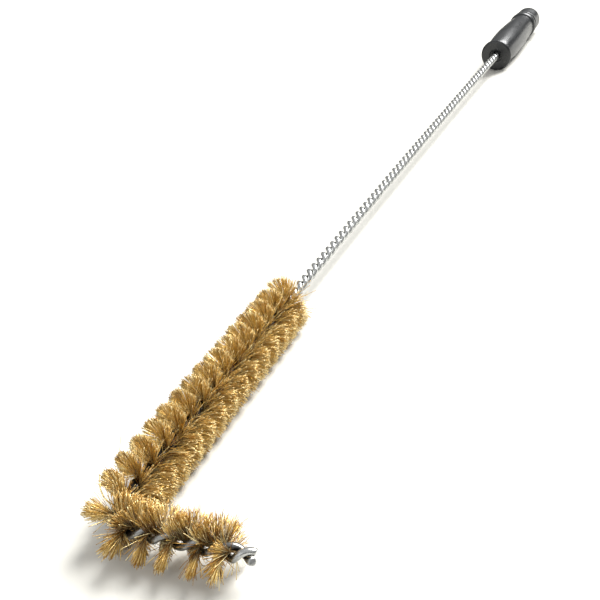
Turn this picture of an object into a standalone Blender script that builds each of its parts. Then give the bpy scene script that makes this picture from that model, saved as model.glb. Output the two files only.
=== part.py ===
"""L-tipped twisted-wire brush with brass filaments and a moulded plastic handle.

Two galvanised steel wires are twisted into one stem. Near the far end they clamp a layer of brass
filaments, which the twist turns into a two-winged spiral, and there the stem is bent to a right angle.
The other end of the stem is pressed into a turned-looking plastic grip, closed by an end cap.

The brush lies flat: +Z is up, the handle points along +X, and the bent tip points along -Y.
"""

import math

import bmesh
import bpy
from mathutils import Vector

# Driving dimensions, in metres and radians.
WIRE_DIAMETER = 0.0031
GAP = 0.0003                      # clearance kept between pieces that touch on the real brush

TIP_LEG = 0.0722                  # from the corner of the L to the cut wire ends
SHAFT_CHORD = 0.5960              # from the corner of the L to the front face of the handle
BOW = 0.0030                      # how far the shaft bows away from its chord, to the side away from the tip
BEND_RADIUS = 0.0120              # centreline radius of the bend
WIRE_DEPTH_IN_HANDLE = 0.0680

BRISTLE_START = 0.0085            # both measured along the stem from the cut wire ends
BRISTLE_END = 0.2360
ROW_COUNT = 20                    # one row for each half turn that carries filaments
START_ANGLE = math.radians(60)    # direction of the filament layer at the cut ends
TWIST_ZONES = (                   # (length, advance in one full turn), from the cut ends on
    (0.0085, 0.0164),             # bare wire ends
    (0.0086, 0.0266),             # tip, unevenly twisted
    (0.0111, 0.0226),
    (0.0148, 0.0304),
    (0.0106, 0.0214),
    (0.0299, 0.0247),             # bend
    (0.0748, 0.0214),             # shaft
    (0.0777, 0.0222),
)
STEM_PITCH = 0.0134               # one full turn of the bare wires
STEM_HELIX_RADIUS = 0.00178
BRUSH_HELIX_RADIUS = 0.00230
SPREAD_LENGTH = 0.008             # stretch over which the wires close up behind the brush

TIP_BRISTLE_RADIUS = 0.0130       # worn shorter than along the shaft
SHAFT_BRISTLE_RADIUS = 0.0156
RADIUS_CHANGE_START = 0.045
RADIUS_CHANGE_LENGTH = 0.045
BRISTLE_HALF_ANGLE = math.radians(24.0)
NECK_HALF_THICKNESS = 0.00045     # filament layer between the wires
NECK_HALF_WIDTH = 0.0021
INNER_CORNER_MARGIN = 0.0020      # how far the filaments stay short of the centre of the bend

FLANGE_RADIUS = 0.0142
HANDLE_LENGTH = 0.1249
GRIP_LENGTH = 0.0920
STEM_BORE_RADIUS = STEM_HELIX_RADIUS + WIRE_DIAMETER / 2 + GAP
STEM_BORE_DEPTH = 0.0700
RECESS_RADIUS = 0.0056
RECESS_DEPTH = 0.0012
SOCKET_RADIUS = 0.0080            # rear socket that takes the end cap's spigot
SOCKET_DEPTH = 0.0120

WIRE_SIDES = 6
WIRE_STEPS_PER_TURN = 8
ROW_STEPS = 12
LATHE_SEGMENTS = 40
AXIS_HEIGHT = FLANGE_RADIUS * math.cos(math.pi / LATHE_SEGMENTS)

# Lengths along the centreline, which starts at the cut ends and runs to the handle.
BOW_ANGLE = 4 * BOW / SHAFT_CHORD
BEND_TURN = math.pi / 2 - BOW_ANGLE
BEND_TANGENT = BEND_RADIUS * math.tan(BEND_TURN / 2)
TIP_STRAIGHT = TIP_LEG - BEND_TANGENT
BEND_LENGTH = BEND_RADIUS * BEND_TURN
SHAFT_LENGTH = SHAFT_CHORD - BEND_TANGENT
BEND_END = TIP_STRAIGHT + BEND_LENGTH
HANDLE_START = BEND_END + SHAFT_LENGTH
WIRE_END = HANDLE_START + WIRE_DEPTH_IN_HANDLE
ROW_LENGTH = (BRISTLE_END - BRISTLE_START) / ROW_COUNT


# Centreline -------------------------------------------------------------------------------------

def arc_step(point, heading, length, curvature):
    """Walk a length along a curve of constant curvature; returns the new point and heading."""
    if abs(curvature) < 1e-9:
        return point + length * Vector((math.cos(heading), math.sin(heading), 0)), heading
    end = heading + length * curvature
    move = Vector((math.sin(end) - math.sin(heading), math.cos(heading) - math.cos(end), 0))
    return point + move / curvature, end


def walk(distance):
    """Point and heading at a distance from the cut ends, before the path is put in place."""
    point = Vector((0, 0, 0))
    heading = 2 * BOW_ANGLE + BEND_TURN
    legs = (
        (TIP_STRAIGHT, 0.0),
        (BEND_LENGTH, -1 / BEND_RADIUS),
        (SHAFT_LENGTH, -2 * BOW_ANGLE / SHAFT_LENGTH),
        (HANDLE_LENGTH, 0.0),
    )
    for length, curvature in legs:
        step = min(distance, length)
        point, heading = arc_step(point, heading, step, curvature)
        distance -= step
        if distance <= 0:
            break
    return point, heading


HANDLE_POINT = walk(HANDLE_START)[0]


def centreline(distance):
    """Point on the stem's axis with the frame (tangent, outer side of the bend, up) there."""
    point, heading = walk(distance)
    point = point - HANDLE_POINT + Vector((0, 0, AXIS_HEIGHT))
    tangent = Vector((math.cos(heading), math.sin(heading), 0))
    side = Vector((-math.sin(heading), math.cos(heading), 0))
    return point, tangent, side, Vector((0, 0, 1))


def twist(distance):
    """Direction of the filament layer; a left-handed twist, tighter where the wires are bare."""
    turns = 0.0
    for length, pitch in TWIST_ZONES:
        turns += min(distance, length) / pitch
        distance = max(distance - length, 0.0)
    return START_ANGLE - 2 * math.pi * (turns + distance / STEM_PITCH)


def smoothstep(value):
    value = min(max(value, 0.0), 1.0)
    return value * value * (3 - 2 * value)


def helix_radius(distance):
    """Distance of each wire from the stem's axis; they close up where there are no filaments."""
    behind = smoothstep((distance - BRISTLE_END) / SPREAD_LENGTH)
    ahead = smoothstep((BRISTLE_START - distance) / SPREAD_LENGTH)
    return BRUSH_HELIX_RADIUS + (STEM_HELIX_RADIUS - BRUSH_HELIX_RADIUS) * max(behind, ahead)


# Mesh helpers -----------------------------------------------------------------------------------

def material(name, colour, metallic, roughness):
    made = bpy.data.materials.new(name)
    made.use_nodes = True
    shader = made.node_tree.nodes["Principled BSDF"]
    shader.inputs["Base Color"].default_value = (*colour, 1.0)
    shader.inputs["Metallic"].default_value = metallic
    shader.inputs["Roughness"].default_value = roughness
    made.diffuse_color = (*colour, 1.0)
    return made


def add_object(name, bm, finish, root, smooth_angle=None):
    bmesh.ops.recalc_face_normals(bm, faces=bm.faces)
    mesh = bpy.data.meshes.new(name)
    bm.to_mesh(mesh)
    bm.free()
    mesh.materials.append(finish)
    if smooth_angle is not None:
        mesh.shade_smooth()
        mesh.set_sharp_from_angle(angle=math.radians(smooth_angle))
    made = bpy.data.objects.new(name, mesh)
    bpy.context.collection.objects.link(made)
    made.parent = root
    return made


def skin_rings(bm, rings):
    """Join each ring of vertices to the next with triangles that all lean the same way."""
    for ring, following in zip(rings, rings[1:]):
        count = len(ring)
        for i in range(count):
            j = (i + 1) % count
            bm.faces.new((ring[i], ring[j], following[i]))
            bm.faces.new((ring[j], following[j], following[i]))


# Twisted wires ----------------------------------------------------------------------------------

def wire_point(distance, phase):
    point, _, side, up = centreline(distance)
    angle = twist(distance) + math.pi / 2 + phase
    radial = side * math.cos(angle) + up * math.sin(angle)
    return point + radial * helix_radius(distance), radial


def wire_ring(bm, distance, phase):
    """Six-sided ring square to the wire, with a flat side towards the stem's axis."""
    step = 0.0002
    centre, radial = wire_point(distance, phase)
    ahead = wire_point(distance + step, phase)[0]
    behind = wire_point(distance - step, phase)[0]
    along = (ahead - behind).normalized()
    across = along.cross(radial).normalized()
    outward = across.cross(along).normalized()
    ring = []
    for i in range(WIRE_SIDES):
        angle = 2 * math.pi * (i + 0.5) / WIRE_SIDES
        offset = outward * math.cos(angle) + across * math.sin(angle)
        ring.append(bm.verts.new(centre + offset * WIRE_DIAMETER / 2))
    return ring


def wire_distances():
    """Ring places: each stretch of the twist gets the same number of rings per turn."""
    places = []
    start = 0.0
    for length, pitch in TWIST_ZONES + ((WIRE_END - BRISTLE_END, STEM_PITCH),):
        count = math.ceil(length / pitch * WIRE_STEPS_PER_TURN)
        places += [start + length * i / count for i in range(count)]
        start += length
    return places + [WIRE_END]


def add_wire(name, phase, finish, root):
    bm = bmesh.new()
    rings = [wire_ring(bm, distance, phase) for distance in wire_distances()]
    skin_rings(bm, rings)
    bm.faces.new(rings[0])
    bm.faces.new(rings[-1])
    return add_object(name, bm, finish, root, smooth_angle=70)


# Filament rows ----------------------------------------------------------------------------------

def bristle_radius(distance):
    grown = smoothstep((distance - RADIUS_CHANGE_START) / RADIUS_CHANGE_LENGTH)
    return TIP_BRISTLE_RADIUS + (SHAFT_BRISTLE_RADIUS - TIP_BRISTLE_RADIUS) * grown


def row_outline(radius):
    """Section of the filament layer: a neck between the wires and a widening wing on each side."""
    rim_x = radius * math.cos(BRISTLE_HALF_ANGLE)
    rim_y = radius * math.sin(BRISTLE_HALF_ANGLE)
    wing = [
        (NECK_HALF_WIDTH, -NECK_HALF_THICKNESS),
        (rim_x, -rim_y),
        (radius, 0.0),
        (rim_x, rim_y),
        (NECK_HALF_WIDTH, NECK_HALF_THICKNESS),
    ]
    return wing + [(-x, -y) for x, y in wing]


def inner_limit(distance):
    """Reach allowed towards the inside of the bend, so that the two legs' filaments don't cross."""
    outside = max(TIP_STRAIGHT - distance, distance - BEND_END, 0.0)
    return BEND_RADIUS - INNER_CORNER_MARGIN + outside


def row_ring(bm, distance):
    point, _, side, up = centreline(distance)
    turned = twist(distance)
    cosine = math.cos(turned)
    sine = math.sin(turned)
    ring = []
    for x, y in row_outline(bristle_radius(distance)):
        sideways = max(x * cosine - y * sine, -inner_limit(distance))
        upward = max(x * sine + y * cosine, -AXIS_HEIGHT)
        ring.append(bm.verts.new(point + side * sideways + up * upward))
    return ring


def close_row_end(bm, ring):
    """Cap one end: a fan of triangles on each wing and the neck between them."""
    for start in (0, 5):
        corner = ring[start]
        for i in range(start + 1, start + 4):
            bm.faces.new((corner, ring[i], ring[i + 1]))
    bm.faces.new((ring[0], ring[4], ring[5]))
    bm.faces.new((ring[0], ring[5], ring[9]))


def add_row(name, index, finish, root):
    start = BRISTLE_START + index * ROW_LENGTH + GAP / 2
    length = ROW_LENGTH - GAP
    bm = bmesh.new()
    rings = [row_ring(bm, start + length * i / ROW_STEPS) for i in range(ROW_STEPS + 1)]
    skin_rings(bm, rings)
    close_row_end(bm, rings[0])
    close_row_end(bm, rings[-1])
    return add_object(name, bm, finish, root)


def row_name(index):
    middle = BRISTLE_START + (index + 0.5) * ROW_LENGTH
    if middle < TIP_STRAIGHT:
        return f"tip_bristle_row_{index + 1:02d}"
    if middle < BEND_END:
        return f"bend_bristle_row_{index + 1:02d}"
    return f"shaft_bristle_row_{index + 1:02d}"


# Handle -----------------------------------------------------------------------------------------

def arc_points(centre, radius, start, end, count):
    """Points of a round stretch in a profile of (distance along the handle, radius)."""
    points = []
    for i in range(count + 1):
        angle = math.radians(start + (end - start) * i / count)
        points.append((centre[0] + radius * math.cos(angle), centre[1] + radius * math.sin(angle)))
    return points


def barrel_points():
    """The swelling of the grip, from the groove behind the flange to the neck before the cap."""
    front, front_radius = 0.0072, 0.0122
    neck, neck_radius = GRIP_LENGTH, 0.0117
    swell = 0.0020
    points = []
    for i in range(11):
        share = i / 10
        base = front_radius + (neck_radius - front_radius) * share
        lift = swell * math.sin(math.pi * share ** 0.80)
        points.append((front + (neck - front) * share, base + lift))
    return points


def grip_profile():
    rim = 0.0022
    flange_back = 0.0046
    socket = GRIP_LENGTH - SOCKET_DEPTH
    front = [
        (STEM_BORE_DEPTH, 0.0),
        (STEM_BORE_DEPTH, STEM_BORE_RADIUS),
        (RECESS_DEPTH, STEM_BORE_RADIUS),
        (RECESS_DEPTH, RECESS_RADIUS),
        (0.0, RECESS_RADIUS),
    ]
    bead = arc_points((rim, FLANGE_RADIUS - rim), rim, 180, 90, 3)
    bead += arc_points((flange_back - rim, FLANGE_RADIUS - rim), rim, 90, 20, 3)
    groove = [(0.0056, 0.0119)]
    rear = [(GRIP_LENGTH, SOCKET_RADIUS), (socket, SOCKET_RADIUS), (socket, 0.0)]
    return front + bead + groove + barrel_points() + rear


def cap_profile():
    """Spigot, flared collar, two shallow grooves, a plain barrel and a rounded end with a small flat."""
    front = GRIP_LENGTH + GAP
    spigot_end = GRIP_LENGTH - SOCKET_DEPTH + GAP
    end_round = 0.0082
    body_radius = 0.0120
    spigot = [
        (spigot_end, 0.0),
        (spigot_end, SOCKET_RADIUS - GAP),
        (front, SOCKET_RADIUS - GAP),
    ]
    collar = [
        (front, 0.0120),
        (front + 0.0018, 0.0132),
        (front + 0.0052, 0.0132),
        (front + 0.0060, 0.0127),
        (front + 0.0068, 0.0120),
        (front + 0.0080, 0.0120),
        (front + 0.0086, 0.0126),
        (front + 0.0112, 0.0126),
        (front + 0.0120, 0.0120),
    ]
    end = arc_points((HANDLE_LENGTH - end_round, body_radius - end_round), end_round, 90, 0, 6)
    return spigot + collar + end + [(HANDLE_LENGTH, 0.0)]


def add_turned(name, profile, finish, root):
    """Turn a profile round the handle's axis, with a flat facet of the polygon facing down."""
    bm = bmesh.new()
    half_step = math.pi / LATHE_SEGMENTS
    start = Vector((0, math.sin(half_step), -math.cos(half_step)))
    centre = Vector((0, 0, AXIS_HEIGHT))
    verts = [bm.verts.new(centre + Vector((x, 0, 0)) + start * radius) for x, radius in profile]
    edges = [bm.edges.new(pair) for pair in zip(verts, verts[1:])]
    bmesh.ops.spin(
        bm,
        geom=verts + edges,
        cent=centre,
        axis=(1, 0, 0),
        angle=2 * math.pi,
        steps=LATHE_SEGMENTS,
        use_merge=True,
    )
    bmesh.ops.remove_doubles(bm, verts=bm.verts, dist=1e-6)
    return add_object(name, bm, finish, root, smooth_angle=35)


# Assembly ---------------------------------------------------------------------------------------

def clear_scene():
    for old in list(bpy.data.objects):
        bpy.data.objects.remove(old, do_unlink=True)


def centre_on_floor(root, pieces):
    """Move the whole brush so that the middle of its box is over the origin, resting at height 0."""
    corners = [vertex.co for piece in pieces for vertex in piece.data.vertices]
    low = [min(corner[axis] for corner in corners) for axis in range(3)]
    high = [max(corner[axis] for corner in corners) for axis in range(3)]
    root.location = (-(low[0] + high[0]) / 2, -(low[1] + high[1]) / 2, -low[2])


def build():
    clear_scene()
    root = bpy.data.objects.new("brush", None)
    bpy.context.collection.objects.link(root)
    steel = material("galvanised_steel", (0.62, 0.63, 0.62), 1.0, 0.32)
    brass = material("brass_filament", (0.62, 0.42, 0.13), 1.0, 0.38)
    plastic = material("grip_plastic", (0.035, 0.038, 0.040), 0.0, 0.30)
    cap_plastic = material("cap_plastic", (0.045, 0.048, 0.050), 0.0, 0.34)
    pieces = [
        add_wire("stem_wire_a", 0.0, steel, root),
        add_wire("stem_wire_b", math.pi, steel, root),
    ]
    pieces += [add_row(row_name(index), index, brass, root) for index in range(ROW_COUNT)]
    pieces.append(add_turned("handle_grip", grip_profile(), plastic, root))
    pieces.append(add_turned("handle_end_cap", cap_profile(), cap_plastic, root))
    centre_on_floor(root, pieces)
    bpy.context.view_layer.update()


build()
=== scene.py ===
"""Looks for the L-tipped twisted-wire brush: every CAD piece is replaced by a detailed one."""

import math

import bpy
import numpy as np
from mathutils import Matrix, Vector


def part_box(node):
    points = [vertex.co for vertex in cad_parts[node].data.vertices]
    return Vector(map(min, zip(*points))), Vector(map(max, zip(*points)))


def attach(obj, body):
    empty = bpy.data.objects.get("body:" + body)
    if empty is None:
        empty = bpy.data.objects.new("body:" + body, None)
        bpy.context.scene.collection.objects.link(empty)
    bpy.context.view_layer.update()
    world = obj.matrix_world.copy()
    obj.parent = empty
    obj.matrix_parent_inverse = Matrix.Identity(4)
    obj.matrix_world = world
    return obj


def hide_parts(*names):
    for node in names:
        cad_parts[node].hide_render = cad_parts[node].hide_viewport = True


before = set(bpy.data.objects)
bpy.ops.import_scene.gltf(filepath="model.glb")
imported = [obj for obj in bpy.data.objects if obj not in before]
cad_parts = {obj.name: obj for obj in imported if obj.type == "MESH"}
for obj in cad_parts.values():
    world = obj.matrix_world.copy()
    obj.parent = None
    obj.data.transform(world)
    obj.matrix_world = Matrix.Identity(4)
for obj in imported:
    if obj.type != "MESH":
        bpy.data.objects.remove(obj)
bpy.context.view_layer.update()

SEED = 4127
rng = np.random.default_rng(SEED)

# The stem's centreline, in metres and radians: the same driving sizes as the CAD part -----------

TIP_LEG = 0.0722
SHAFT_CHORD = 0.5960
BOW = 0.0030
BEND_RADIUS = 0.0120
BRISTLE_START = 0.0085
BRISTLE_END = 0.2360
ROW_COUNT = 20
START_ANGLE = math.radians(60)
TWIST_ZONES = (                   # (length, advance in one full turn), from the cut ends on
    (0.0085, 0.0164),             # bare wire ends
    (0.0086, 0.0266),             # tip, unevenly twisted
    (0.0111, 0.0226),
    (0.0148, 0.0304),
    (0.0106, 0.0214),
    (0.0299, 0.0247),             # bend
    (0.0748, 0.0214),             # shaft
    (0.0777, 0.0222),
)
STEM_PITCH = 0.0134
STEM_HELIX_RADIUS = 0.00178
BRUSH_HELIX_RADIUS = 0.00225
SPREAD_LENGTH = 0.008
WIRE_RADIUS = 0.00155

BOW_ANGLE = 4 * BOW / SHAFT_CHORD
BEND_TURN = math.pi / 2 - BOW_ANGLE
BEND_TANGENT = BEND_RADIUS * math.tan(BEND_TURN / 2)
TIP_STRAIGHT = TIP_LEG - BEND_TANGENT
BEND_LENGTH = BEND_RADIUS * BEND_TURN
SHAFT_LENGTH = SHAFT_CHORD - BEND_TANGENT
BEND_END = TIP_STRAIGHT + BEND_LENGTH
HANDLE_START = BEND_END + SHAFT_LENGTH

grip_low, grip_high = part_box("handle_grip")
_, cap_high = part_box("handle_end_cap")
HANDLE_POINT = np.array([
    grip_low.x,
    (grip_low.y + grip_high.y) / 2,
    (grip_low.z + grip_high.z) / 2,
])
AXIS_HEIGHT = HANDLE_POINT[2]
HANDLE_LENGTH = cap_high.x - grip_low.x


def leg_table():
    """Start length, start point, start heading and curvature of each stretch of the centreline."""
    legs = []
    start = 0.0
    point = np.zeros(2)
    heading = 2 * BOW_ANGLE + BEND_TURN
    stretches = (
        (TIP_STRAIGHT, 0.0),
        (BEND_LENGTH, -1 / BEND_RADIUS),
        (SHAFT_LENGTH, -2 * BOW_ANGLE / SHAFT_LENGTH),
        (HANDLE_LENGTH, 0.0),
    )
    for length, curvature in stretches:
        legs.append((start, point.copy(), heading, curvature))
        point = point + along_arc(np.array([length]), heading, curvature)[0][0]
        heading += length * curvature
        start += length
    return legs


def along_arc(length, heading, curvature):
    """Offset in the plane and new heading after walking each length along one stretch."""
    end = heading + length * curvature
    if abs(curvature) < 1e-9:
        move = np.stack([np.cos(heading) * length, np.sin(heading) * length], axis=1)
    else:
        move = np.stack([np.sin(end) - math.sin(heading), math.cos(heading) - np.cos(end)], axis=1)
        move = move / curvature
    return move, end


LEGS = leg_table()
HANDLE_OFFSET = HANDLE_POINT[:2] - LEGS[3][1]


def centreline(distance):
    """Points on the stem's axis, with unit vectors along it and to its side, for many lengths."""
    distance = np.atleast_1d(np.asarray(distance, float))
    points = np.zeros((len(distance), 3))
    headings = np.zeros(len(distance))
    for i, (start, origin, heading, curvature) in enumerate(LEGS):
        last = LEGS[i + 1][0] if i + 1 < len(LEGS) else np.inf
        here = (distance >= start) & (distance < last)
        if i == 0:
            here |= distance < start
        move, end = along_arc(distance[here] - start, heading, curvature)
        points[here, :2] = origin + move + HANDLE_OFFSET
        headings[here] = end
    points[:, 2] = AXIS_HEIGHT
    zero = np.zeros(len(distance))
    tangent = np.stack([np.cos(headings), np.sin(headings), zero], axis=1)
    side = np.stack([-np.sin(headings), np.cos(headings), zero], axis=1)
    return points, tangent, side


def twist(distance):
    """Direction of the filament layer; a left-handed twist, tighter where the wires are bare."""
    left = np.array(distance, float)
    turns = np.zeros_like(left)
    for length, pitch in TWIST_ZONES:
        turns += np.minimum(left, length) / pitch
        left = np.maximum(left - length, 0.0)
    return START_ANGLE - 2 * math.pi * (turns + left / STEM_PITCH)


def smoothstep(value):
    value = np.clip(value, 0.0, 1.0)
    return value * value * (3 - 2 * value)


def rise(distance, start, width):
    """0 up to a start, 1 from a width further on, and smooth between."""
    return smoothstep((distance - start) / width)


def helix_share(distance):
    """1 where the wires are bare, 0 where they clamp filaments."""
    behind = rise(distance, BRISTLE_END, SPREAD_LENGTH)
    ahead = smoothstep((BRISTLE_START - distance) / SPREAD_LENGTH)
    return np.maximum(behind, ahead)


def helix_radius(distance):
    return BRUSH_HELIX_RADIUS + (STEM_HELIX_RADIUS - BRUSH_HELIX_RADIUS) * helix_share(distance)


# Mesh helpers -----------------------------------------------------------------------------------

def mesh_object(name, verts, faces, finish):
    """Object from an array of points and an array (or a list) of faces."""
    mesh = bpy.data.meshes.new(name)
    if isinstance(faces, np.ndarray):
        count, size = faces.shape
        mesh.vertices.add(len(verts))
        mesh.vertices.foreach_set("co", np.asarray(verts, np.float32).ravel())
        mesh.loops.add(count * size)
        mesh.loops.foreach_set("vertex_index", faces.astype(np.int32).ravel())
        mesh.polygons.add(count)
        mesh.polygons.foreach_set("loop_start", np.arange(0, count * size, size, dtype=np.int32))
        mesh.update(calc_edges=True)
    else:
        mesh.from_pydata([tuple(v) for v in verts], [], faces)
        mesh.update()
    mesh.polygons.foreach_set("use_smooth", np.ones(len(mesh.polygons), bool))
    mesh.materials.append(finish)
    made = bpy.data.objects.new(name, mesh)
    bpy.context.scene.collection.objects.link(made)
    return made


def add_attribute(obj, name, values):
    layer = obj.data.attributes.new(name, "FLOAT", "POINT")
    layer.data.foreach_set("value", np.asarray(values, np.float32).ravel())


def stand_for(piece, nodes):
    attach(piece, "root")
    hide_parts(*nodes)


# Materials --------------------------------------------------------------------------------------

NOISE_RANGE = (0.3, 0.7)            # where nearly all of a noise texture's values lie


class Nodes:
    """Small helper to build a node material in a readable way."""

    def __init__(self, name):
        self.material = bpy.data.materials.new(name)
        self.material.use_nodes = True
        self.tree = self.material.node_tree
        self.shader = self.tree.nodes["Principled BSDF"]

    def add(self, kind, **settings):
        node = self.tree.nodes.new(kind)
        for key, value in settings.items():
            setattr(node, key, value)
        return node

    def link(self, source, target):
        self.tree.links.new(source, target)

    def fill(self, socket, value):
        if isinstance(value, bpy.types.NodeSocket):
            self.link(value, socket)
        elif isinstance(value, tuple) and len(value) == 3 and len(socket.default_value) == 4:
            socket.default_value = (*value, 1.0)
        else:
            socket.default_value = value

    def set(self, name, value):
        self.fill(self.shader.inputs[name], value)

    def math(self, operation, a, b):
        node = self.add("ShaderNodeMath", operation=operation)
        self.fill(node.inputs[0], a)
        self.fill(node.inputs[1], b)
        return node.outputs[0]

    def mix(self, factor, a, b):
        node = self.add("ShaderNodeMix", data_type="RGBA")
        self.fill(node.inputs[0], factor)
        self.fill(node.inputs[6], a)
        self.fill(node.inputs[7], b)
        return node.outputs[2]

    def scaled(self, value, low, high, out_low, out_high):
        node = self.add("ShaderNodeMapRange")
        for socket, item in zip(node.inputs, (value, low, high, out_low, out_high)):
            self.fill(socket, item)
        return node.outputs[0]

    def spread(self, noise, out_low, out_high):
        return self.scaled(noise, *NOISE_RANGE, out_low, out_high)

    def attribute(self, name):
        return self.add("ShaderNodeAttribute", attribute_name=name).outputs["Fac"]

    def coordinates(self, scale=(1.0, 1.0, 1.0)):
        source = self.add("ShaderNodeTexCoord")
        mapping = self.add("ShaderNodeMapping")
        mapping.inputs["Scale"].default_value = scale
        self.link(source.outputs["Object"], mapping.inputs["Vector"])
        return mapping.outputs[0]

    def noise(self, scale, detail=4.0, roughness=0.55, stretch=(1.0, 1.0, 1.0)):
        node = self.add("ShaderNodeTexNoise")
        self.link(self.coordinates(stretch), node.inputs["Vector"])
        node.inputs["Scale"].default_value = scale
        node.inputs["Detail"].default_value = detail
        node.inputs["Roughness"].default_value = roughness
        return node.outputs["Fac"]

    def ramp(self, value, stops):
        node = self.add("ShaderNodeValToRGB")
        band = node.color_ramp
        while len(band.elements) < len(stops):
            band.elements.new(0.5)
        for element, (place, colour) in zip(band.elements, stops):
            element.position = place
            element.color = (*colour, 1.0)
        self.link(value, node.inputs[0])
        return node.outputs[0]

    def bump(self, height, strength, distance):
        node = self.add("ShaderNodeBump")
        node.inputs["Strength"].default_value = strength
        node.inputs["Distance"].default_value = distance
        self.link(height, node.inputs["Height"])
        self.link(node.outputs[0], self.shader.inputs["Normal"])


def brass_material():
    m = Nodes("brass_filaments")
    reach = m.attribute("reach")
    tone = m.attribute("tone")
    # Colour along each filament from its root: the near-black and dark brown at the roots are painted
    # shade in the brush's core; gold further out, browner at the outer ends
    along = m.ramp(reach, (
        (0.17, (0.026, 0.020, 0.013)),
        (0.31, (0.250, 0.175, 0.095)),
        (0.50, (0.800, 0.520, 0.130)),
        (0.76, (0.970, 0.680, 0.210)),
        (1.00, (0.500, 0.290, 0.065)),
    ))
    brown = m.mix(m.scaled(tone, 0.05, 0.5, 1.0, 0.0), along, (0.300, 0.140, 0.020))
    pale = m.mix(m.scaled(tone, 0.48, 0.88, 0.0, 0.90), brown, (1.000, 0.830, 0.430))
    stain = m.scaled(m.noise(900.0, 3.0), 0.45, 0.75, 0.0, 0.25)
    colour = m.mix(stain, pale, (0.170, 0.110, 0.055))
    m.set("Base Color", colour)
    m.set("Metallic", 0.66)
    m.set("Roughness", m.spread(m.noise(500.0, 2.0), 0.26, 0.42))
    m.bump(m.noise(4000.0, 2.0), 0.25, 0.00004)
    return m.material


def steel_material():
    m = Nodes("galvanised_wire")
    inner_shade = m.attribute("inner_shade")
    shade_amount = m.attribute("wire_shade")
    sheen = m.noise(260.0, 5.0, 0.6)
    colour = m.mix(m.spread(sheen, 0.0, 1.0), (0.32, 0.325, 0.32), (0.60, 0.61, 0.60))
    spangle = m.noise(900.0, 2.0)
    colour = m.mix(m.scaled(spangle, 0.55, 0.72, 0.0, 0.5), colour, (0.80, 0.81, 0.80))
    # Painted shade: the side of each wire that faces the stem's axis, between the wires, is darkened
    colour = m.mix(m.scaled(inner_shade, 0.35, 0.95, 0.0, 0.85), colour, (0.045, 0.040, 0.034))
    # Painted shade on the wires among the filaments; where filaments cover them the wires are also
    # rougher
    colour = m.mix(shade_amount, colour, (0.018, 0.014, 0.010))
    m.set("Base Color", colour)
    m.set("Metallic", 1.0)
    polish = m.spread(sheen, 0.38, 0.18)
    m.set("Roughness", m.math("ADD", polish, m.scaled(shade_amount, 0.65, 1.0, 0.0, 0.35)))
    m.bump(m.noise(1500.0, 4.0, 0.65), 0.35, 0.00008)
    return m.material


def plastic_material(name, colour, worn, gloss, dull, grain):
    m = Nodes(name)
    cloud = m.noise(45.0, 5.0, 0.6)
    m.set("Base Color", m.mix(m.spread(cloud, 0.0, 1.0), colour, worn))
    haze = m.noise(160.0, 4.0, 0.6, (0.25, 1.0, 1.0))
    m.set("Roughness", m.spread(haze, gloss, dull))
    m.set("Specular IOR Level", 0.5)
    m.bump(m.noise(grain, 4.0, 0.6), 0.22, 0.00012)
    return m.material


def floor_material():
    m = Nodes("white_table")
    cloud = m.spread(m.noise(6.0, 4.0), 0.0, 1.0)
    m.set("Base Color", m.mix(cloud, (0.610, 0.600, 0.555), (0.630, 0.620, 0.575)))
    m.set("Roughness", m.spread(m.noise(30.0, 4.0), 0.55, 0.7))
    m.bump(m.noise(700.0, 3.0), 0.03, 0.0001)
    return m.material


# Twisted wires ----------------------------------------------------------------------------------

WIRE_SIDES = 20
WIRE_STEPS_PER_TURN = 26
WIRE_END = HANDLE_START + 0.012
WANDER = 0.00005                   # how far a wire leaves its helix, and waves of that in a metre
WANDER_RATE = 310.0
OUT_OF_ROUND = 0.010
CUT_LENGTH = 0.0006                # from the first ring to the middle of the sheared face
CUT_RIMS = ((0.93, 0.00012), (0.70, 0.00022), (0.35, 0.00026))    # share of the radius, bulge
NIP_SHADE = 0.45                   # extra painted shade between the wires where they clamp filaments
COVERED = (0.053, 0.010)           # start and width of the stretch where filaments hide the wires
COVERED_END = (BRISTLE_END - 0.004, 0.006)
# Painted shade on the wires: near-black where filaments cover them, darker on the tip where they show
# between filaments
COVERED_WIRE_SHADE = 0.97
TIP_WIRE_SHADE = 0.62


def wire_axis(distance, phase, extra):
    """Centre of one wire; each wire wanders a little, as a machine-twisted wire does."""
    point, _, side = centreline(distance)
    angle = twist(distance) + math.pi / 2 + phase
    radius = helix_radius(distance) + extra
    radius = radius + WANDER * np.sin(distance * WANDER_RATE + phase * 2.0)
    radial = side * np.cos(angle)[:, None]
    radial[:, 2] += np.sin(angle)
    return point + radial * radius[:, None], radial


def wire_places():
    places = []
    start = 0.0
    for length, pitch in TWIST_ZONES + ((WIRE_END - BRISTLE_END, STEM_PITCH),):
        count = math.ceil(length / pitch * WIRE_STEPS_PER_TURN)
        places += [start + length * i / count for i in range(count)]
        start += length
    return np.array(places + [WIRE_END])


def unit(vectors):
    return vectors / np.linalg.norm(vectors, axis=1, keepdims=True)


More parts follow.
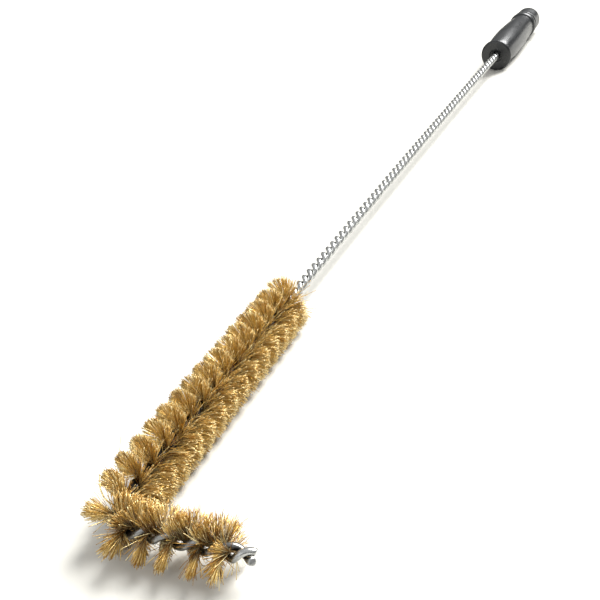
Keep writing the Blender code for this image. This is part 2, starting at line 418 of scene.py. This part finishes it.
def build_wire(name, node, phase, extra, cut, finish):
    """Swept wire with a sheared end: the first rings close in to a slanted, rounded cut."""
    places = wire_places()
    step = 0.0001
    centre, radial = wire_axis(places, phase, extra)
    ahead, _ = wire_axis(places + step, phase, extra)
    behind, _ = wire_axis(places - step, phase, extra)
    along = unit(ahead - behind)
    across = unit(np.cross(along, radial))
    outward = np.cross(across, along)
    angles = 2 * math.pi * np.arange(WIRE_SIDES) / WIRE_SIDES
    ring = outward[:, None, :] * np.cos(angles)[None, :, None]
    ring = ring + across[:, None, :] * np.sin(angles)[None, :, None]
    wobble = 1 + OUT_OF_ROUND * np.sin(places * 900.0)[:, None] * np.cos(2 * angles)[None, :]
    verts = centre[:, None, :] + ring * (WIRE_RADIUS * wobble)[:, :, None]
    # Painted shade: how far each point of the wire faces the stem's axis, more so where filaments are
    # clamped
    inner_shade = np.tile(-np.cos(angles), (len(places), 1))
    inner_shade = inner_shade + NIP_SHADE * (1 - helix_share(places))[:, None]
    slant = cut * np.cos(angles - 0.7)
    verts[0] -= along[0] * (CUT_LENGTH + slant)[:, None]
    rims = []
    for share, bulge in CUT_RIMS:
        out = (CUT_LENGTH + slant * share + bulge)[:, None]
        rims.append(centre[0] + ring[0] * WIRE_RADIUS * share - along[0] * out)
    verts = np.concatenate([np.array(rims[::-1]), verts])
    inner_shade = np.concatenate([np.full((len(rims), WIRE_SIDES), -1.0), inner_shade])
    rows = len(verts)
    i = np.arange(rows - 1)[:, None] * WIRE_SIDES
    j = np.arange(WIRE_SIDES)[None, :]
    k = (j + 1) % WIRE_SIDES
    quads = np.stack([i + j, i + k, i + WIRE_SIDES + k, i + WIRE_SIDES + j], axis=-1).reshape(-1, 4)
    faces = [tuple(q) for q in quads]
    faces.append(tuple(range(WIRE_SIDES))[::-1])
    faces.append(tuple(range((rows - 1) * WIRE_SIDES, rows * WIRE_SIDES)))
    obj = mesh_object(name, verts.reshape(-1, 3), faces, finish)
    obj.data.set_sharp_from_angle(angle=math.radians(50))
    add_attribute(obj, "inner_shade", inner_shade)
    # Painted shade on the wires: strongest where filaments cover them, less on the tip
    covered = rise(places, *COVERED) * (1 - rise(places, *COVERED_END))
    wire_shade = COVERED_WIRE_SHADE * covered + TIP_WIRE_SHADE * (1 - helix_share(places)) * (1 - covered)
    wire_shade = np.concatenate([np.zeros(len(rims)), wire_shade])
    add_attribute(obj, "wire_shade", np.repeat(wire_shade, WIRE_SIDES))
    stand_for(obj, [node])


# Filaments --------------------------------------------------------------------------------------

STRAND_SIDES = 3
STRAND_STEPS = 8
STRAND_RADIUS = 0.000125
STRANDS_PER_WING = 470
TUFTS_PER_WING = 16
NIP_RADIUS = 0.0022
FLOOR_MARGIN = 0.0022
TIP_PARTING = math.radians(33)     # direction, round each leg's axis, in which the filaments part
SHAFT_PARTING = math.radians(137)
TIP_PUSH = 0.62                    # least lean away from the parting, in quarter turns
CARPET_PUSH = 0.42
FAN_PUSH = 0.13
TIP_CARPET = math.radians(130)     # side of each leg on which the spiral's turns have run together
SHAFT_CARPET = math.radians(223)
FAN_OPENING = 0.09                 # how much the filaments of one turn open out along the stem
TIP_RADIUS = 0.0124                # trimmed radius of the brush on the worn tip and on the shaft
SHAFT_RADIUS = 0.0153
LOWEST = 0.00025                   # height at which filaments lie on the table
SPLAY = 0.7                        # how far a filament moves outward for each height it is lifted
TURN_LENGTH = 0.0012               # beyond the nip, a filament takes its combed direction in this
CRIMP_LENGTH = 0.004               # and its full crimp in this
BOW_LENGTH = 0.014                 # length over which curl and sag reach their stated amount

# Places along the stem where something changes, as (start, width)
TRIM_CHANGE = (0.045, 0.045)       # from the tip's radius to the shaft's
COMB_CHANGE = (0.055, 0.030)       # from the tip's parting to the shaft's
TIP_END = (0.060, 0.020)           # from the tip's worn, untidy filaments to the shaft's
TIP_SHADE_END = (0.050, 0.020)
FIRST_COMBED = (0.018, 0.004)
CORNER_START = (0.052, 0.005)
CORNER_END = (0.060, 0.012)
WIDE_START = (0.056, 0.005)        # filaments spread wide round the outside of the bend
WIDE_END = (0.070, 0.010)
LAST_COMBED = (BRISTLE_END - 0.010, 0.006)
LAST_FAN = (BRISTLE_END - 0.006, 0.005)

# Shares of the filaments, and how the odd ones differ; a spread is a standard deviation
TIP_THINNING = 0.35                # lost from the worn tip
LOOSE_SHARE = 0.65                 # in no tuft, and how many fewer on the tip
TIP_LOOSE_LESS = 0.15
WILD_SHARE = 0.03                  # out of line, and how many more in the parting
WILD_IN_PARTING = 0.45
WILD_ANGLE = math.radians(34)
WILD_LEAN = 0.22
STRAY_SHARE = 0.03                 # longer than the rest by up to this
STRAY_EXTRA = 0.0015
STUB_SHARE = 0.26                  # broken short, on the tip
STUB_LENGTHS = (0.0036, 0.0062)
STUB_ANGLE = math.radians(28)
STUB_LEAN = 0.45
END_LEAN = 0.55                    # lean of the last fan along the stem, in the parting and beside it
END_LEAN_BACK = 0.22


def brush_radius(distance):
    return TIP_RADIUS + (SHAFT_RADIUS - TIP_RADIUS) * rise(distance, *TRIM_CHANGE)


def past_bend(root):
    """0 on the tip and 1 on the shaft, changing round the bend."""
    return rise(root, *COMB_CHANGE)


def parting(root):
    return TIP_PARTING + (SHAFT_PARTING - TIP_PARTING) * past_bend(root)


def wing_direction(root, sign):
    """Direction in which the filaments of one wing leave the wires."""
    return twist(root) + (0.0 if sign > 0 else math.pi)


def keep_above_floor(points, outward):
    """Bend what would go through the table so that it splays out along it."""
    height = points[..., 2].copy()
    low = height < FLOOR_MARGIN
    sunk = FLOOR_MARGIN * np.exp((np.minimum(height, FLOOR_MARGIN) - FLOOR_MARGIN) / FLOOR_MARGIN)
    lifted = np.where(low, np.maximum(sunk, LOWEST), height)
    points[..., 2] = lifted
    return points + outward[:, None, :] * (lifted - height)[..., None] * SPLAY


def comb(direction, root):
    """The filaments are parted: they lean away from one direction round the stem, to both sides."""
    strength = 0.25 + 0.75 * rise(root, *FIRST_COMBED)
    corner = rise(root, *CORNER_START) * (1 - rise(root, *CORNER_END))
    strength = strength * (1 - 0.75 * corner) * (1 - 0.9 * rise(root, *LAST_COMBED))
    apart = (direction - parting(root) + math.pi) % (2 * math.pi) - math.pi
    away = np.abs(apart) / (math.pi / 2)
    least = np.where(apart > 0, CARPET_PUSH, FAN_PUSH)
    least = TIP_PUSH + (least - TIP_PUSH) * past_bend(root)
    pushed = np.where(away < 1, least + (1 - least) * away ** 1.5, away) * math.pi / 2
    return (np.sign(apart) * pushed - apart) * strength


def strand_points(strands, sign):
    """Points along every strand of one wing: out of the nip, fanning, then curled and crimped."""
    root = strands["root"]
    point, tangent, side = centreline(root)
    layer = wing_direction(root, sign)
    swung = comb(layer, root) + strands["angle"]
    share = strand_shares()[None, :]
    reach = strands["start"][:, None] + (strands["length"] - strands["start"])[:, None] * share
    beyond = np.maximum(reach - NIP_RADIUS, 0.0)
    turning = layer[:, None] + swung[:, None] * smoothstep(beyond / TURN_LENGTH)
    out = np.minimum(reach, NIP_RADIUS)
    flat_side = out * np.cos(layer)[:, None] + beyond * np.cos(turning)
    flat_up = out * np.sin(layer)[:, None] + beyond * np.sin(turning)
    bow = (beyond / BOW_LENGTH) ** 2
    swing = strands["curl"][:, None] * bow
    axial = beyond * np.tan(strands["lean"])[:, None] + strands["sag"][:, None] * bow
    crimp = strands["crimp"][:, None] * smoothstep(beyond / CRIMP_LENGTH)
    wave = 2 * math.pi * reach / strands["crimp_length"][:, None] + strands["crimp_phase"][:, None]
    swing = swing + crimp * np.sin(wave) * np.cos(strands["crimp_plane"])[:, None]
    axial = axial + crimp * np.sin(wave) * np.sin(strands["crimp_plane"])[:, None]
    flat_side = flat_side - swing * np.sin(turning)
    flat_up = flat_up + swing * np.cos(turning)
    points = point[:, None, :] + side[:, None, :] * flat_side[..., None]
    points = points + tangent[:, None, :] * axial[..., None]
    points[..., 2] += flat_up
    outward = side * np.sign(flat_side[:, -1])[:, None]
    return keep_above_floor(points, outward)


def strand_shares():
    return np.linspace(0.0, 1.0, STRAND_STEPS) ** 0.85


def tubes(points, radius):
    """Thin three-sided tubes round many polylines at once; returns vertices and triangles."""
    count, steps, _ = points.shape
    along = np.gradient(points, axis=1)
    along /= np.linalg.norm(along, axis=2, keepdims=True)
    helper = np.array([0.31, 0.52, 0.79])     # any direction that no strand runs along
    across = np.cross(along, helper)
    across /= np.linalg.norm(across, axis=2, keepdims=True)
    other = np.cross(along, across)
    angles = 2 * math.pi * np.arange(STRAND_SIDES) / STRAND_SIDES
    ring = across[:, :, None, :] * np.cos(angles)[None, None, :, None]
    ring = ring + other[:, :, None, :] * np.sin(angles)[None, None, :, None]
    verts = points[:, :, None, :] + ring * radius[:, None, None, None]
    base = (np.arange(count) * steps * STRAND_SIDES)[:, None, None]
    i = (np.arange(steps - 1) * STRAND_SIDES)[None, :, None]
    j = np.arange(STRAND_SIDES)[None, None, :]
    k = (j + 1) % STRAND_SIDES
    a, b = base + i + j, base + i + k
    c, d = b + STRAND_SIDES, a + STRAND_SIDES
    sides = np.concatenate([
        np.stack([a, b, c], axis=-1).reshape(-1, 3),
        np.stack([a, c, d], axis=-1).reshape(-1, 3),
    ])
    ends = base[:, :, 0] + (steps - 1) * STRAND_SIDES + np.arange(STRAND_SIDES)[None, :]
    starts = base[:, :, 0] + np.arange(STRAND_SIDES)[::-1][None, :]
    faces = np.concatenate([sides, ends.reshape(-1, 3), starts.reshape(-1, 3)])
    return verts.reshape(-1, 3), faces


def carpet(direction, root):
    """How far a filament is on the side where the turns run together, and its place in its fan."""
    away = direction - (TIP_CARPET + (SHAFT_CARPET - TIP_CARPET) * past_bend(root))
    share = np.maximum(np.cos(away), 0.0) ** 1.5
    place = (away + math.pi / 2) % math.pi - math.pi / 2
    return share, place


def in_parting(direction, root):
    """1 for filaments that would stand in the parting, falling to 0 for those well away from it."""
    return np.maximum(np.cos(direction - parting(root)), 0.0) ** 2


def strand_choices(low, high, sign):
    """Random root place, fan angle, lean, length, curl and crimp for the strands of one wing."""
    tip = 1 - rise((low + high) / 2, *TIP_END)
    count = int(STRANDS_PER_WING * (1 - TIP_THINNING * tip))
    lean_spread = 0.022 + 0.05 * tip
    centres = rng.uniform(low, high, TUFTS_PER_WING)
    tuft_angle = rng.normal(0.0, math.radians(3 + 3 * tip), TUFTS_PER_WING)
    tuft_lean = rng.normal(0.0, lean_spread, TUFTS_PER_WING)
    tuft_tone = rng.normal(0.0, 0.12 + 0.10 * tip, TUFTS_PER_WING)
    pick = rng.integers(0, TUFTS_PER_WING, count)
    loose = rng.random(count) < LOOSE_SHARE - TIP_LOOSE_LESS * tip
    anywhere = rng.uniform(low, high, count)
    root = np.where(loose, anywhere, centres[pick] + rng.normal(0.0, 0.0005, count))
    root = np.clip(root, low, high)
    direction = wing_direction(root, sign)
    share, place = carpet(direction, root)
    spread = rng.normal(0.0, math.radians(4 + 3 * tip), count)
    angle = np.where(loose, spread * 1.3, tuft_angle[pick] + spread * 0.7)
    cornering = rise(root, *WIDE_START) * (1 - rise(root, *WIDE_END))
    wide = share * (1 - 0.5 * cornering) + 0.60 * cornering
    angle = angle + rng.normal(0.0, math.radians(22 - 8 * tip), count) * wide
    lean = np.where(loose, 0.0, tuft_lean[pick]) + rng.normal(0.0, lean_spread, count)
    lean = lean + rng.normal(0.0, 0.08, count) * share
    lean = lean + FAN_OPENING * (1 - share) * (1 - tip) * np.sin(2 * place)
    length = brush_radius(root) + rng.normal(0.0, 0.0005 + 0.0004 * tip, count)
    lean = np.where(root < BRISTLE_START + 0.004, 0.08 + 0.5 * np.abs(lean), lean)
    facing = in_parting(direction, root)
    end_lean = END_LEAN * facing - END_LEAN_BACK * (1 - facing) * (1 - share)
    lean = lean + end_lean * rise(root, *LAST_FAN)
    wild = rng.random(count) < (WILD_SHARE + WILD_IN_PARTING * facing) * (1 - 0.6 * tip)
    angle = angle + np.where(wild, rng.normal(0.0, WILD_ANGLE, count), 0.0)
    lean = lean + np.where(wild, rng.normal(0.0, WILD_LEAN, count), 0.0)
    tone = 0.57 - 0.16 * tip + 0.25 * share * (1 - tip)
    stray = rng.random(count) < STRAY_SHARE
    length = length + stray * rng.uniform(0.0, STRAY_EXTRA, count)
    # Stubs are short, so their whole length lies in the painted root shade: they fill gaps among the
    # roots with dark
    stub = rng.random(count) < STUB_SHARE * tip
    length = np.where(stub, rng.uniform(*STUB_LENGTHS, count), length)
    angle = np.where(stub, rng.normal(0.0, STUB_ANGLE, count), angle)
    lean = np.where(stub, rng.normal(0.0, STUB_LEAN, count), lean)
    angle = np.where(stray, angle * 2.5, angle)
    return {
        "root": root,
        "angle": angle,
        "lean": lean,
        "length": length,
        "start": rng.uniform(-0.0004, 0.0004, count),
        "curl": rng.normal(0.0, 0.0003 + 0.0004 * tip, count),
        "sag": rng.normal(0.0, 0.0002 + 0.0004 * tip, count),
        "crimp": rng.uniform(0.00002, 0.00007 + 0.00013 * tip, count),
        "crimp_length": rng.uniform(0.0040, 0.0065, count),
        "crimp_phase": rng.uniform(0.0, 2 * math.pi, count),
        "crimp_plane": rng.uniform(0.0, 2 * math.pi, count),
        "tone": np.clip(tone + tuft_tone[pick] + rng.normal(0.0, 0.30, count), 0.0, 1.0),
        "girth": rng.uniform(0.85, 1.15, count),
    }


STRAYS = (                         # root, direction in degrees, length, lean along the stem, sag
    (0.0088, -52.0, 0.0120, -0.10, 0.0006),
    (0.0090, -47.0, 0.0105, 0.12, -0.0004),
    (0.0092, -55.0, 0.0125, 0.30, 0.0010),
    (0.0095, -60.0, 0.0095, -0.22, 0.0000),
    # Arcs at the corner. A fitting script found the values of these three rows
    (0.0799, 27.6, 0.0208, -0.71, 0.0130),
    (0.0784, 42.5, 0.0186, -0.59, 0.0131),
    (0.0796, 49.0, 0.0188, -0.78, 0.0138),
    # Last fan
    (0.2350, 215.0, 0.0165, 0.45, 0.0020),
    (0.2352, 60.0, 0.0160, 0.40, 0.0015),
)


def stray_strands(low, high):
    """The few single filaments that stand out of the brush, as the choices for one more wing."""
    chosen = np.array([s for s in STRAYS if low <= s[0] < high]).reshape(-1, 5)
    root, degrees, length, lean, sag = chosen.T
    zero = np.zeros(len(chosen))
    direction = np.radians(degrees)
    return {
        "root": root,
        "angle": direction - twist(root) - comb(twist(root), root),
        "lean": lean,
        "length": length,
        "start": zero,
        "curl": zero,
        "sag": sag,
        "crimp": zero + 0.00003,
        "crimp_length": zero + 0.005,
        "crimp_phase": zero,
        "crimp_plane": zero,
        "tone": zero + 0.95,
        "girth": zero + 1.4,
    }


def build_row(index, node, finish):
    row_length = (BRISTLE_END - BRISTLE_START) / ROW_COUNT
    low = BRISTLE_START + index * row_length
    wings = [(strand_choices(low, low + row_length, sign), sign) for sign in (1.0, -1.0)]
    wings.append((stray_strands(low, low + row_length), 1.0))
    points = np.concatenate([strand_points(strands, sign) for strands, sign in wings])
    tones = np.concatenate([strands["tone"] for strands, _ in wings])
    radius = STRAND_RADIUS * np.concatenate([strands["girth"] for strands, _ in wings])
    verts, faces = tubes(points, radius)
    obj = mesh_object(f"filaments_{index + 1:02d}", verts, faces, finish)
    tip = 1 - rise(low, *TIP_SHADE_END)
    fullness = np.concatenate([
        strands["length"] / brush_radius(strands["root"]) for strands, _ in wings
    ])
    # On the tip the painted root shade reaches further out along each filament
    reach = (fullness[:, None] * strand_shares()[None, :]) ** (1 + 0.8 * tip)
    add_attribute(obj, "reach", np.repeat(reach.ravel(), STRAND_SIDES))
    add_attribute(obj, "tone", np.repeat(tones, STRAND_STEPS * STRAND_SIDES))
    stand_for(obj, [node])


# Handle -----------------------------------------------------------------------------------------

LATHE_SEGMENTS = 128


def arc(centre, radius, start, end, count):
    angles = np.radians(np.linspace(start, end, count + 1))
    return [(centre[0] + radius * math.cos(a), centre[1] + radius * math.sin(a)) for a in angles]


def lathe(name, profile, finish):
    """Turn a closed or axis-ended profile of (distance, radius) round the handle's axis."""
    profile = np.array(profile)
    angles = 2 * math.pi * np.arange(LATHE_SEGMENTS) / LATHE_SEGMENTS
    radius = profile[:, 1][:, None] * np.ones(LATHE_SEGMENTS)[None, :]
    x = np.repeat(profile[:, 0], LATHE_SEGMENTS) + HANDLE_POINT[0]
    y = (radius * np.cos(angles)[None, :]).ravel() + HANDLE_POINT[1]
    z = (radius * np.sin(angles)[None, :]).ravel() + HANDLE_POINT[2]
    verts = np.stack([x, y, z], axis=1)
    rows = len(profile)
    i = np.arange(rows - 1)[:, None] * LATHE_SEGMENTS
    j = np.arange(LATHE_SEGMENTS)[None, :]
    k = (j + 1) % LATHE_SEGMENTS
    quads = np.stack([i + j, i + k, i + LATHE_SEGMENTS + k, i + LATHE_SEGMENTS + j], axis=-1)
    faces = [tuple(q) for q in quads.reshape(-1, 4)]
    faces.append(tuple(range(LATHE_SEGMENTS))[::-1])
    faces.append(tuple(range((rows - 1) * LATHE_SEGMENTS, rows * LATHE_SEGMENTS)))
    obj = mesh_object(name, verts, faces, finish)
    obj.data.set_sharp_from_angle(angle=math.radians(38))
    return obj


GRIP_LENGTH = 0.0920
FLANGE_RADIUS = 0.0142
BARREL_START = 0.0072
BARREL_FRONT_RADIUS = 0.0122
BARREL_NECK_RADIUS = 0.0117
BARREL_SWELL = 0.0020


def barrel(count):
    points = []
    for share in np.linspace(0, 1, count):
        base = BARREL_FRONT_RADIUS + (BARREL_NECK_RADIUS - BARREL_FRONT_RADIUS) * share
        swell = BARREL_SWELL * math.sin(math.pi * share ** 0.80)
        points.append((BARREL_START + (GRIP_LENGTH - BARREL_START) * share, base + swell))
    return points


def build_grip(finish):
    rim = 0.0022
    flange_back = 0.0046
    profile = [(0.016, 0.0001), (0.016, 0.0036), (0.0014, 0.0036)]
    profile += [(0.0012, 0.0040), (0.0012, 0.0050)]
    profile += [(0.0010, 0.0055), (0.0005, 0.0057)]
    profile += arc((0.0005, 0.0062), 0.0005, 270, 180, 4)[1:]
    profile += [(0.0, 0.0085), (0.0, 0.0112), (0.0, FLANGE_RADIUS - rim)]
    profile += arc((rim, FLANGE_RADIUS - rim), rim, 180, 90, 8)[1:]
    profile += arc((flange_back - rim, FLANGE_RADIUS - rim), rim, 90, 15, 6)
    profile += [(0.00475, 0.0124), (0.0051, 0.0120), (0.0056, 0.01185), (0.0063, 0.0119)]
    profile += barrel(40)
    profile += [(GRIP_LENGTH, BARREL_NECK_RADIUS), (GRIP_LENGTH, 0.0001)]
    obj = lathe("grip_body", profile, finish)
    stand_for(obj, ["handle_grip"])


def build_cap(finish):
    front = GRIP_LENGTH + 0.0003
    body = 0.0120
    end_round = 0.0082
    end_face = HANDLE_LENGTH - 0.0003
    profile = [(front, 0.0001), (front, 0.0118)]
    profile += [(front + 0.0004, 0.0123), (front + 0.0012, 0.0128), (front + 0.0022, 0.01315)]
    profile += [(front + 0.0036, 0.0132), (front + 0.0048, 0.0131), (front + 0.0054, 0.0127)]
    profile += [(front + 0.0060, 0.01205), (front + 0.0066, 0.0118), (front + 0.0074, 0.0118)]
    profile += [(front + 0.0079, 0.0121), (front + 0.0084, 0.0126), (front + 0.0092, 0.01272)]
    profile += [(front + 0.0106, 0.0127), (front + 0.0113, 0.0124), (front + 0.0119, body)]
    profile += [(front + 0.0150, body), (front + 0.0190, body)]
    profile += arc((HANDLE_LENGTH - end_round, body - end_round), end_round, 90, 0, 14)
    profile += [(HANDLE_LENGTH - 0.00002, 0.0030), (end_face, 0.0022), (end_face, 0.0001)]
    obj = lathe("grip_end_cap", profile, finish)
    stand_for(obj, ["handle_end_cap"])


# Stage ------------------------------------------------------------------------------------------

SKY = (0.20, 0.60, 0.12, 0.58)      # from height, to height, strength below, strength above
FLOOR_REACH = 6.0
CAMERA_PLACE = (-0.4989, -0.21347, 0.22546)
CAMERA_TURN = (60.665, 15.174, -61.574)      # degrees


def build_stage():
    far = FLOOR_REACH
    verts = [(-far, -far, 0), (far, -far, 0), (far, far, 0), (-far, far, 0)]
    floor = mesh_object("table", verts, [(0, 1, 2, 3)], floor_material())
    world = bpy.data.worlds.new("light_tent")
    world.use_nodes = True
    tree = world.node_tree
    background = tree.nodes["Background"]
    background.inputs["Color"].default_value = (1.0, 1.0, 1.0, 1.0)
    direction = tree.nodes.new("ShaderNodeTexCoord")
    split = tree.nodes.new("ShaderNodeSeparateXYZ")
    brightness = tree.nodes.new("ShaderNodeMapRange")
    for socket, value in zip(list(brightness.inputs)[1:5], SKY):
        socket.default_value = value
    tree.links.new(direction.outputs["Generated"], split.inputs[0])
    tree.links.new(split.outputs["Z"], brightness.inputs[0])
    tree.links.new(brightness.outputs[0], background.inputs["Strength"])
    bpy.context.scene.world = world


def add_sun(name, azimuth, elevation, angle, strength):
    """Soft light from far away: degrees from +X, the handle's way, towards -Y, and degrees up."""
    data = bpy.data.lights.new(name, "SUN")
    data.angle = math.radians(angle)
    data.energy = strength
    light = bpy.data.objects.new(name, data)
    bpy.context.scene.collection.objects.link(light)
    level = math.cos(math.radians(elevation))
    towards = Vector((
        level * math.cos(math.radians(azimuth)),
        -level * math.sin(math.radians(azimuth)),
        math.sin(math.radians(elevation)),
    ))
    light.rotation_euler = (-towards).to_track_quat("-Z", "Y").to_euler()


def build_camera():
    data = bpy.data.cameras.new("camera")
    data.lens = 48.0
    data.sensor_width = 36.0
    data.clip_start = 0.01
    data.clip_end = 50.0
    camera = bpy.data.objects.new("camera", data)
    bpy.context.scene.collection.objects.link(camera)
    camera.location = CAMERA_PLACE
    camera.rotation_euler = [math.radians(turn) for turn in CAMERA_TURN]
    bpy.context.scene.camera = camera


brass = brass_material()
steel = steel_material()
grip_plastic = plastic_material(
    "grip_black", colour=(0.007, 0.008, 0.009), worn=(0.013, 0.014, 0.015),
    gloss=0.24, dull=0.36, grain=1500.0,
)
cap_plastic = plastic_material(
    "cap_black", colour=(0.010, 0.011, 0.012), worn=(0.018, 0.020, 0.021),
    gloss=0.26, dull=0.40, grain=1800.0,
)

build_wire("wire_a", "stem_wire_a", phase=0.0, extra=0.00005, cut=0.00035, finish=steel)
build_wire("wire_b", "stem_wire_b", phase=math.pi, extra=-0.00003, cut=-0.00020, finish=steel)

row_nodes = sorted((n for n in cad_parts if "bristle_row" in n), key=lambda n: n[-2:])
for index, node in enumerate(row_nodes):
    build_row(index, node, brass)
build_grip(grip_plastic)
build_cap(cap_plastic)
build_stage()
add_sun("key", azimuth=34.0, elevation=46.0, angle=36.0, strength=6.2)
add_sun("fill", azimuth=195.0, elevation=28.0, angle=60.0, strength=0.7)
build_camera()
bpy.context.scene.view_settings.view_transform = "Standard"
bpy.context.scene.view_settings.exposure = 0.25
